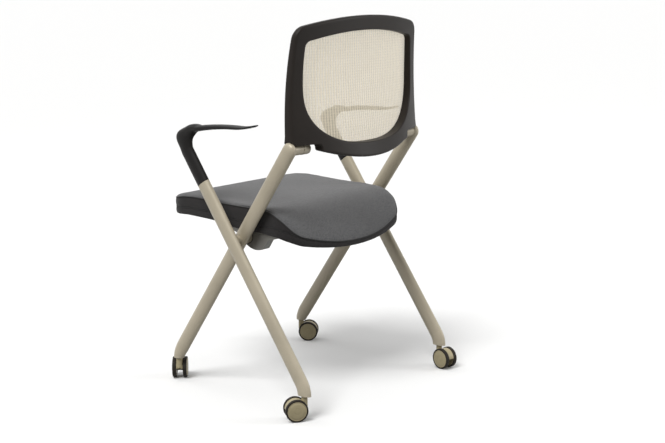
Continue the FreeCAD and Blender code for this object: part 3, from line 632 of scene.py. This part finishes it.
def back_lug(sign, node):
    # Hinge barrel with a rounded end, and the neck that runs up inside the frame
    steps = 56
    dome = BARREL_LENGTH - BARREL_DOME
    profile = [(0.0, BARREL_BORE), (0.0, BARREL_RADIUS - 0.4), (0.4, BARREL_RADIUS), (dome, BARREL_RADIUS)]
    for degrees in range(15, 91, 15):
        angle = math.radians(degrees)
        radius = BARREL_RADIUS - BARREL_DOME + BARREL_DOME * math.cos(angle)
        profile.append((dome + BARREL_DOME * math.sin(angle), radius))
    profile.append((BARREL_LENGTH, 0.1))
    vertices = []
    for along, radius in profile:
        for step in range(steps):
            angle = FULL_TURN * step / steps
            x = sign * (BARREL_END_X - along)
            vertices.append((x, PIVOT_Y + radius * math.cos(angle), PIVOT_Z + radius * math.sin(angle)))
    faces = strips(len(profile), steps)
    base = len(vertices)
    for x in NECK_X:
        for y, z in NECK_CORNERS:
            vertices.append((sign * x, PIVOT_Y + y, PIVOT_Z + z))
    faces += [(base, base + 1, base + 2, base + 3), (base + 7, base + 6, base + 5, base + 4)]
    faces += [(base + k, base + 4 + k, base + 4 + (k + 1) % 4, base + (k + 1) % 4) for k in range(4)]
    made = piece(
        node + "_barrel", np.array(vertices) * MM, faces, FINISHES["cast_paint"], "backrest",
        (node,),
    )
    outward(made)
    soften(made, 40)


# Armrests

ARM_X = 253.0
ARM_POINTS = 44
ARM_WIDTH = 32.0
ARM_JOINT_REACH = 147.5
BEND_Y = -98.0
BEND_Z = 587.0
BEND_RADIUS = 20.5
BEND_START = 214.8
HEEL_FULLNESS = 16.0
HEEL_ANGLE = 174.0
HEEL_SPREAD = 20.0
ROOT_THICKNESS = 13.3
ARM_WAIST_Y = 20.0
ARM_WAIST_Z = 624.0
WAIST_THICKNESS = 8.0
ARM_TIP_Y = 77.0
ARM_TIP_RADIUS = 16.0
ARM_TIP_RISE = 8.8
TIP_THICKNESS = 3.6


def arm_ring(centre, direction, depth, width, power):
    # A ring that is an ellipse at power 2 and squarer at higher ones
    across = np.array([0.0, direction[2], -direction[1]])
    angle = FULL_TURN * np.arange(ARM_POINTS) / ARM_POINTS
    cosine = np.cos(angle)
    sine = np.sin(angle)
    major = np.sign(cosine) * np.abs(cosine) ** (2 / power) * depth / 2
    minor = np.sign(sine) * np.abs(sine) ** (2 / power) * width / 2
    return centre + major[:, None] * across + minor[:, None] * np.array([1.0, 0.0, 0.0])


def arm_rings():
    # The upright part in line with the leg's tube
    up_arm = np.array([0.0, -math.sin(LEAN), math.cos(LEAN)])
    across = np.array([0.0, up_arm[2], -up_arm[1]])
    joint = np.array([ARM_X, CROSSING_Y, CROSSING_Z]) + up_arm * ARM_JOINT_REACH
    bend = np.array([ARM_X, BEND_Y, BEND_Z])
    reach = (bend - joint) @ up_arm
    gap = (bend - joint) @ across - TUBE_DEPTH / 2
    rings = []
    for along in (0.25, 0.8, 3.0, reach * 0.2, reach * 0.4, reach * 0.6, reach * 0.8):
        shrink = 0.8 if along < 0.5 else 0.0
        rings.append(arm_ring(joint + up_arm * along, up_arm, TUBE_DEPTH - shrink, TUBE_WIDTH - shrink, 2.0))

    # The bend, which has a full heel
    steps = 30
    for step in range(steps):
        share = step / steps
        degrees = BEND_START + (90 - BEND_START) * share
        angle = math.radians(degrees)
        spoke = np.array([0.0, math.cos(angle), math.sin(angle)])
        inner = gap + (BEND_RADIUS - gap) * min(1.0, 2 * share)
        outer = gap + TUBE_DEPTH + (BEND_RADIUS + ROOT_THICKNESS - gap - TUBE_DEPTH) * share
        outer += HEEL_FULLNESS * math.exp(-(((degrees - HEEL_ANGLE) / HEEL_SPREAD) ** 2))
        heading = np.array([0.0, spoke[2], -spoke[1]])
        width = TUBE_WIDTH + (ARM_WIDTH - TUBE_WIDTH) * share
        middle = bend + spoke * (inner + outer) / 2
        rings.append(arm_ring(middle, heading, outer - inner, width, 2.0 + 0.9 * share))

    # The rest itself, which thins towards a round tip that turns up a little
    root_z = BEND_Z + BEND_RADIUS + ROOT_THICKNESS / 2
    stations = list(np.linspace(BEND_Y, ARM_TIP_Y - ARM_TIP_RADIUS, 22))
    stations += [ARM_TIP_Y - distance for distance in (12.0, 8.0, 5.0, 3.0, 1.5, 0.6, 0.1)]
    for y in stations:
        share = (y - BEND_Y) / (ARM_WAIST_Y - BEND_Y)
        if share <= 1:
            z = root_z + (ARM_WAIST_Z - root_z) * (2 * share - share ** 2)
            thickness = ROOT_THICKNESS + (WAIST_THICKNESS - ROOT_THICKNESS) * share
        else:
            share = (y - ARM_WAIST_Y) / (ARM_TIP_Y - ARM_WAIST_Y)
            z = ARM_WAIST_Z + ARM_TIP_RISE * share ** 2
            thickness = WAIST_THICKNESS + (TIP_THICKNESS - WAIST_THICKNESS) * share
        width = ARM_WIDTH
        past = y - ARM_TIP_Y + ARM_TIP_RADIUS
        if past > 0:
            width = 2 * math.sqrt(max(1.0, ARM_TIP_RADIUS ** 2 - past ** 2))
            thickness *= 0.45 + 0.55 * math.sqrt(max(0.0, 1 - (past / ARM_TIP_RADIUS) ** 2))
        rings.append(arm_ring(np.array([ARM_X, y, z]), np.array([0.0, 1.0, 0.0]), thickness, width, 2.9))
    return rings


def armrest(sign, node):
    rings = arm_rings()
    vertices = np.concatenate(rings) * MM * (sign, 1, 1)
    faces = strips(len(rings), ARM_POINTS)
    faces.append(tuple(range(ARM_POINTS))[::-1])
    last = (len(rings) - 1) * ARM_POINTS
    faces.append(tuple(range(last, last + ARM_POINTS)))
    made = piece(node + "_moulding", vertices, faces, FINISHES["arm_plastic"], "frame", (node,))
    outward(made)
    soften(made, 50)


# Seat: heights of the two seams and of the underside along Y

SEAM_Y = [-270, -257, -205, -172, -136, -72, -30, 10, 61, 80, 103, 115, 127, 138, 144, 150, 156, 165]
SEAM_Z = [
    428, 433, 443, 445, 444, 440.5, 439.3, 439.3, 436.5, 430.5, 416.6, 403, 389, 377.5, 371, 364.5, 358, 350,
]
LOWER_SEAM_Y = [-270, -220, -181, -123, -60, 0, 43, 79, 102, 125, 138, 150, 165]
LOWER_SEAM_Z = [413, 415, 418, 415.5, 409, 402.5, 400.5, 401.5, 396, 388, 374, 362, 348]
UNDERSIDE_Y = [-270, -222, -192, -127, -102, -60, -35, 30, 56, 89, 116, 128, 138, 146, 153, 165]
UNDERSIDE_Z = [397, 398.5, 400, 397.5, 396, 389, 386, 385, 382.5, 379, 370, 363.7, 356.7, 351, 346, 337.5]
SEAT_CENTRE = np.array([0.0, -50.0])
CLOTH_OUT = 0.6
SHRINK_REACH = 150.0
TOP_INSETS = [0.0, 0.35, 1.0, 2.0, 3.4, 5.2, 7.5, 10.5, 14.0, 20.0, 30.0, 43.0, 60.0, 80.0, 103.0, 128.0, 155.0]
UNDER_INSETS = [4.5, 9.0, 16.0, 26.0, 45.0, 70.0, 100.0, 135.0, 165.0]
# Share of the way down and distance outwards
BORDER_PROFILE = (
    (-0.1, -1.0), (0.0, 0.4), (0.12, 1.3), (0.3, 2.0), (0.55, 2.1), (0.8, 1.5), (0.95, 0.6), (1.0, -0.4),
)
LOWER_PROFILE = (
    (-0.02, -6.0), (-0.02, -1.0), (0.0, 0.1), (0.1, 0.9), (0.3, 1.4), (0.6, 1.4), (0.82, 0.6), (0.95, -0.8),
)


def smooth_curve(ys, zs):
    # A measured polyline with its corners eased, as a dense table
    dense = np.linspace(ys[0], ys[-1], 900)
    values = np.interp(dense, ys, zs)
    spread = np.exp(-0.5 * (np.arange(-24, 25) / 9.0) ** 2)
    spread /= spread.sum()
    padded = np.pad(values, 24, mode="edge")
    return dense, np.convolve(padded, spread, "valid")


seam_table = smooth_curve(SEAM_Y, SEAM_Z)
lower_seam_table = smooth_curve(LOWER_SEAM_Y, LOWER_SEAM_Z)
underside_table = smooth_curve(UNDERSIDE_Y, UNDERSIDE_Z)


def seam_z(y):
    return np.interp(y, *seam_table)


def arc(centre_x, centre_y, radius, first, last):
    # Points along an arc, without its first end
    angle = np.linspace(first, last, 60)[1:]
    return np.stack([centre_x + radius * np.cos(angle), centre_y + radius * np.sin(angle)], 1)


def seat_half_outline():
    # The cloth stands a little outside the solid cushion
    half = 205.0 + CLOTH_OUT
    front = -257.0 - CLOTH_OUT
    front_radius = 50.0 + CLOTH_OUT
    rear_radius = 55.0 + CLOTH_OUT
    back_radius = 600.0 + CLOTH_OUT
    back_centre = 158.0 - 600.0
    rear_x = half - rear_radius
    rear_centre = back_centre + math.sqrt((back_radius - rear_radius) ** 2 - rear_x ** 2)
    touch = back_radius / (back_radius - rear_radius)
    touch_x = rear_x * touch
    touch_y = back_centre + (rear_centre - back_centre) * touch
    end = math.atan2(touch_y - rear_centre, touch_x - rear_x)
    return np.concatenate([
        np.array([[x, front] for x in np.linspace(0, half - front_radius, 60)]),
        arc(half - front_radius, front + front_radius, front_radius, -math.pi / 2, 0),
        np.array([[half, y] for y in np.linspace(front + front_radius, rear_centre, 120)[1:]]),
        arc(rear_x, rear_centre, rear_radius, 0, end),
        arc(0.0, back_centre, back_radius, end, math.pi / 2),
    ])


def node_surface(node):
    solid = frame["nodes"][node]
    points = [vertex.co.copy() for vertex in solid.data.vertices]
    return BVHTree.FromPolygons(points, [tuple(polygon.vertices) for polygon in solid.data.polygons])


def inward_rows(rim, insets):
    # Rings of points that run in from the rim, then shrink towards the middle of the seat
    inward = inward_normals(rim)
    straight = 30.0
    rows = []
    for inset in insets:
        if inset <= straight:
            rows.append(rim + inward * inset)
        else:
            base = rim + inward * straight
            rows.append(base + (SEAT_CENTRE - base) * ((inset - straight) / SHRINK_REACH))
    return rows


def capped(rows, rise):
    # Vertices and faces of a skin whose last ring closes on a middle point
    count = len(rows[0])
    vertices = np.concatenate(rows)
    faces = strips(len(rows), count)
    last = (len(rows) - 1) * count
    hub = vertices[last:last + count].mean(0)
    hub[2] += rise
    faces += [(last + k, last + (k + 1) % count, len(vertices)) for k in range(count)]
    return np.concatenate([vertices, hub[None]]), faces


def seat_pieces():
    rim = both_halves(resampled(seat_half_outline(), 161))
    inward = inward_normals(rim)
    rim_y = rim[:, 1]
    seam = seam_z(rim_y)
    lower_seam = np.minimum(np.interp(rim_y, *lower_seam_table), seam - 1.6)
    underside = np.interp(rim_y, *underside_table)

    def ring(inset, z):
        points = rim + inward * np.reshape(inset, (-1, 1))
        return np.stack([points[:, 0], points[:, 1], z], 1)

    # Top panel: rolls over at the edge, crowned, with a fuller roll along the rear
    rows = []
    for points, inset in zip(inward_rows(rim, TOP_INSETS), TOP_INSETS):
        x, y = points[:, 0], points[:, 1]
        roll = math.sqrt(max(0.0, 1 - (1 - min(inset, 12.0) / 12.0) ** 2))
        waterfall = np.clip((y - 70.0) / 60.0, 0, 1)
        z = seam_z(y) - 1.2 + 6.6 * roll + 3.4 * (1 - math.exp(-inset / 60.0))
        z += 2.2 * waterfall * math.exp(-(((inset - 22.0) / 18.0) ** 2))
        rows.append(np.stack([x, y, z], 1))
    vertices, faces = capped(rows, 0.3)
    x, y = vertices[:, 0], vertices[:, 1]
    # Slack in the cloth: long shallow waves, and short pulls that fade away from the seam
    reach = np.maximum(0, 1 - np.repeat(TOP_INSETS, len(rim)) / 40.0)
    reach = np.append(reach, 0.0)
    vertices[:, 2] += 0.25 * np.sin(x * 0.09 + 1.7 * np.sin(y * 0.035)) * np.sin(y * 0.071 + 0.9)
    turn = np.arctan2(y - SEAT_CENTRE[1], x)
    vertices[:, 2] += 0.16 * reach * np.sin(turn * 47.0 + 2.0 * np.sin(turn * 5.0)) * (1 - reach ** 6)
    top = piece(
        "seat_top", vertices * MM, faces, FINISHES["seat_fabric"], "seat", ("seat_cushion",)
    )

    # Border between the two seams, which runs out to nothing at the rear corners
    height = seam - 0.8 - lower_seam
    swell = np.clip(height / 14.0, 0.15, 1.0)
    rows = [ring(0.6 - out * swell, seam - 0.8 - height * share) for share, out in BORDER_PROFILE]
    border = piece(
        "seat_border", np.concatenate(rows) * MM, strips(len(rows), len(rim)), border_fabric, "seat",
        ("seat_cushion",),
    )

    # Lower panel: wraps the pan, rolls under its edge and runs flat over its underside
    surface = node_surface("seat_pan")
    drop = lower_seam - underside
    rows = [ring(0.4 - out, lower_seam - 0.4 - drop * share) for share, out in LOWER_PROFILE]
    for points, inset in zip(inward_rows(rim, UNDER_INSETS), UNDER_INSETS):
        z = []
        for (x, y), edge in zip(points, underside):
            hit = surface.ray_cast(Vector((x * MM, y * MM, 0.2)), Vector((0, 0, 1)))[0]
            z.append(hit.z / MM - 0.4 if hit else edge)
        share = min(1.0, inset / 16.0)
        z = underside * (1 - share) + np.array(z) * share
        rows.append(np.stack([points[:, 0], points[:, 1], z], 1))
    vertices, faces = capped(rows, 0.0)
    lower = piece("seat_lower", vertices * MM, faces, border_fabric, "seat", ("seat_pan",))
    for item in (top, border, lower):
        outward(item)
        modifier = item.modifiers.new("smooth", "SUBSURF")
        modifier.levels = 1
        modifier.render_levels = 1
    welt("seat_seam", ring(-0.5, seam - 0.7), 1.1)
    welt("seat_lower_seam", ring(-0.2, lower_seam), 0.7)


def welt(name, loop, radius):
    # A closed seam of round section along a loop of points on the seat
    ahead = np.roll(loop, -1, 0) - np.roll(loop, 1, 0)
    ahead /= np.linalg.norm(ahead, axis=1)[:, None]
    side = np.cross(ahead, (0, 0, 1.0))
    side /= np.linalg.norm(side, axis=1)[:, None]
    lift = np.cross(side, ahead)
    rows = []
    for angle in np.linspace(0, FULL_TURN, 9)[:-1]:
        rows.append(loop + (side * math.cos(angle) + lift * math.sin(angle)) * radius)
    faces = strips(len(rows), len(loop), wrap_rows=True)
    outward(piece(name, np.concatenate(rows) * MM, faces, thread, "seat"))


# Castors: profiles as (distance from the inner face, radius)

HOOD_HALF_WIDTH = 7.3
WHEEL_GAP = 0.8
WHEEL_PROFILE = [
    (0.0, 3.1), (0.0, 20.6), (0.5, 21.4), (8.4, 21.4), (8.9, 20.9), (9.05, 20.2), (8.75, 19.4), (8.75, 18.7),
    (9.15, 18.1), (9.6, 15.0), (9.85, 11.0), (9.95, 7.6), (9.6, 7.2), (9.6, 6.7), (10.0, 6.3), (10.15, 3.0),
    (10.18, 0.1),
]
TREAD_PROFILE = [
    (0.0, 21.5), (0.0, 23.7), (0.25, 24.4), (0.8, 24.85), (1.6, 25.0), (4.1, 25.0), (4.3, 24.75), (4.7, 24.75),
    (4.9, 25.0), (7.4, 25.0), (8.2, 24.85), (8.75, 24.4), (9.0, 23.7), (9.0, 21.5), (0.0, 21.5),
]


def lathe(name, profile, place, axis, body, slot, node):
    # profile runs as (distance along the axis, radius) in millimetres, open or closed
    steps = 72
    closed = profile[0] == profile[-1]
    rings = profile[:-1] if closed else profile
    spot = Matrix.Translation(place) @ axis.to_track_quat("Z", "Y").to_matrix().to_4x4()
    vertices = []
    for along, radius in rings:
        for step in range(steps):
            angle = FULL_TURN * step / steps
            point = (radius * math.cos(angle) * MM, radius * math.sin(angle) * MM, along * MM)
            vertices.append(spot @ Vector(point))
    faces = strips(len(rings), steps, wrap_rows=closed)
    if not closed:
        faces.append(tuple(range(len(vertices) - steps, len(vertices))))
    made = piece(name, vertices, faces, FINISHES[slot], body, (node,))
    outward(made)
    soften(made, 32)


def castors():
    # The joints in the record give the middle of each castor on its axle, and the axle's direction
    for joint in frame["joints"]:
        if "_roll_" not in joint["name"]:
            continue
        body = joint["child"]
        out = Vector(joint["axis"]).normalized() * (1 if body.endswith("_a") else -1)
        place = Vector(joint["pos_m"]) + out * (HOOD_HALF_WIDTH + WHEEL_GAP) * MM
        lathe(body + "_disc", WHEEL_PROFILE, place, out, body, "castor_plastic", body)
        tread = body.replace("_wheel_", "_tread_")
        lathe(body + "_tyre", TREAD_PROFILE, place, out, body, "tread_rubber", tread)


frame_piece()
mesh_piece()
back_lug(1, "back_lug_left")
back_lug(-1, "back_lug_right")
armrest(1, "armrest_left")
armrest(-1, "armrest_right")
seat_pieces()
castors()

# Small radii on the edges of the solids that show, in metres
EDGE_RADII = {"_foot_": 0.0007, "seat_bracket_": 0.0012, "_hood": 0.0009}
for node, item in frame["nodes"].items():
    for part, width in EDGE_RADII.items():
        if part in node:
            bevel(item, width)
    soften(item, 42)

# Floor, backdrop and light

floor_mesh = bpy.data.meshes.new("floor")
edge = 200.0
corners = [(-edge, -edge, 0), (edge, -edge, 0), (edge, edge, 0), (-edge, edge, 0)]
floor_mesh.from_pydata(corners, [], [(0, 1, 2, 3)])
floor = bpy.data.objects.new("floor", floor_mesh)
scene.collection.objects.link(floor)
ground = Finish("floor").set(roughness=0.9, specular=0.1)
tint = ground.node("ShaderNodeMix", data_type="RGBA")
ground.link(seen_directly(ground.tree), tint.inputs["Factor"])
tint.inputs["A"].default_value = (0.16, 0.16, 0.158, 1.0)
tint.inputs["B"].default_value = (0.84, 0.84, 0.835, 1.0)
ground.link(tint.outputs["Result"], ground.shader.inputs["Base Color"])
ground.bump(ground.noise(700.0, 3.0), 0.0004, 0.3)
floor_mesh.materials.append(ground.material)

world = bpy.data.worlds.new("world")
scene.world = world
world.use_nodes = True
nodes = world.node_tree.nodes
links = world.node_tree.links
background = nodes["Background"]
# Light on the chair falls off from overhead to the horizon, as under a bright ceiling
sky = nodes.new("ShaderNodeTexCoord")
height = nodes.new("ShaderNodeSeparateXYZ")
links.new(sky.outputs["Generated"], height.inputs[0])
fall = nodes.new("ShaderNodeMapRange")
fall.inputs["From Min"].default_value = 0.0
fall.inputs["From Max"].default_value = 0.9
fall.inputs["To Min"].default_value = 0.20
fall.inputs["To Max"].default_value = 0.75
links.new(height.outputs["Z"], fall.inputs["Value"])
level = nodes.new("ShaderNodeMix")
links.new(seen_directly(world.node_tree), level.inputs["Factor"])
links.new(fall.outputs["Result"], level.inputs["A"])
level.inputs["B"].default_value = 1.0
background.inputs["Color"].default_value = (1.0, 1.0, 1.0, 1.0)
links.new(level.outputs["Result"], background.inputs["Strength"])


def lamp(name, place, target, size, power):
    light = bpy.data.lights.new(name, "AREA")
    light.shape = "SQUARE"
    light.size = size
    light.energy = power
    made = bpy.data.objects.new(name, light)
    scene.collection.objects.link(made)
    direction = Vector(target) - Vector(place)
    made.matrix_world = Matrix.Translation(place) @ direction.to_track_quat("-Z", "Y").to_matrix().to_4x4()


lamp("front", (0.6, -3.0, 2.2), (0.0, 0.0, 0.5), 1.6, 16.0)
lamp("side", (-2.4, 3.0, 1.5), (0.0, 0.0, 0.5), 1.2, 34.0)
sun = bpy.data.lights.new("sun", "SUN")
sun.energy = 2.3
sun.angle = math.radians(28)
sun_object = bpy.data.objects.new("sun", sun)
scene.collection.objects.link(sun_object)
sun_object.matrix_world = Vector((0.75, 0.05, 1.0)).to_track_quat("Z", "Y").to_matrix().to_4x4()
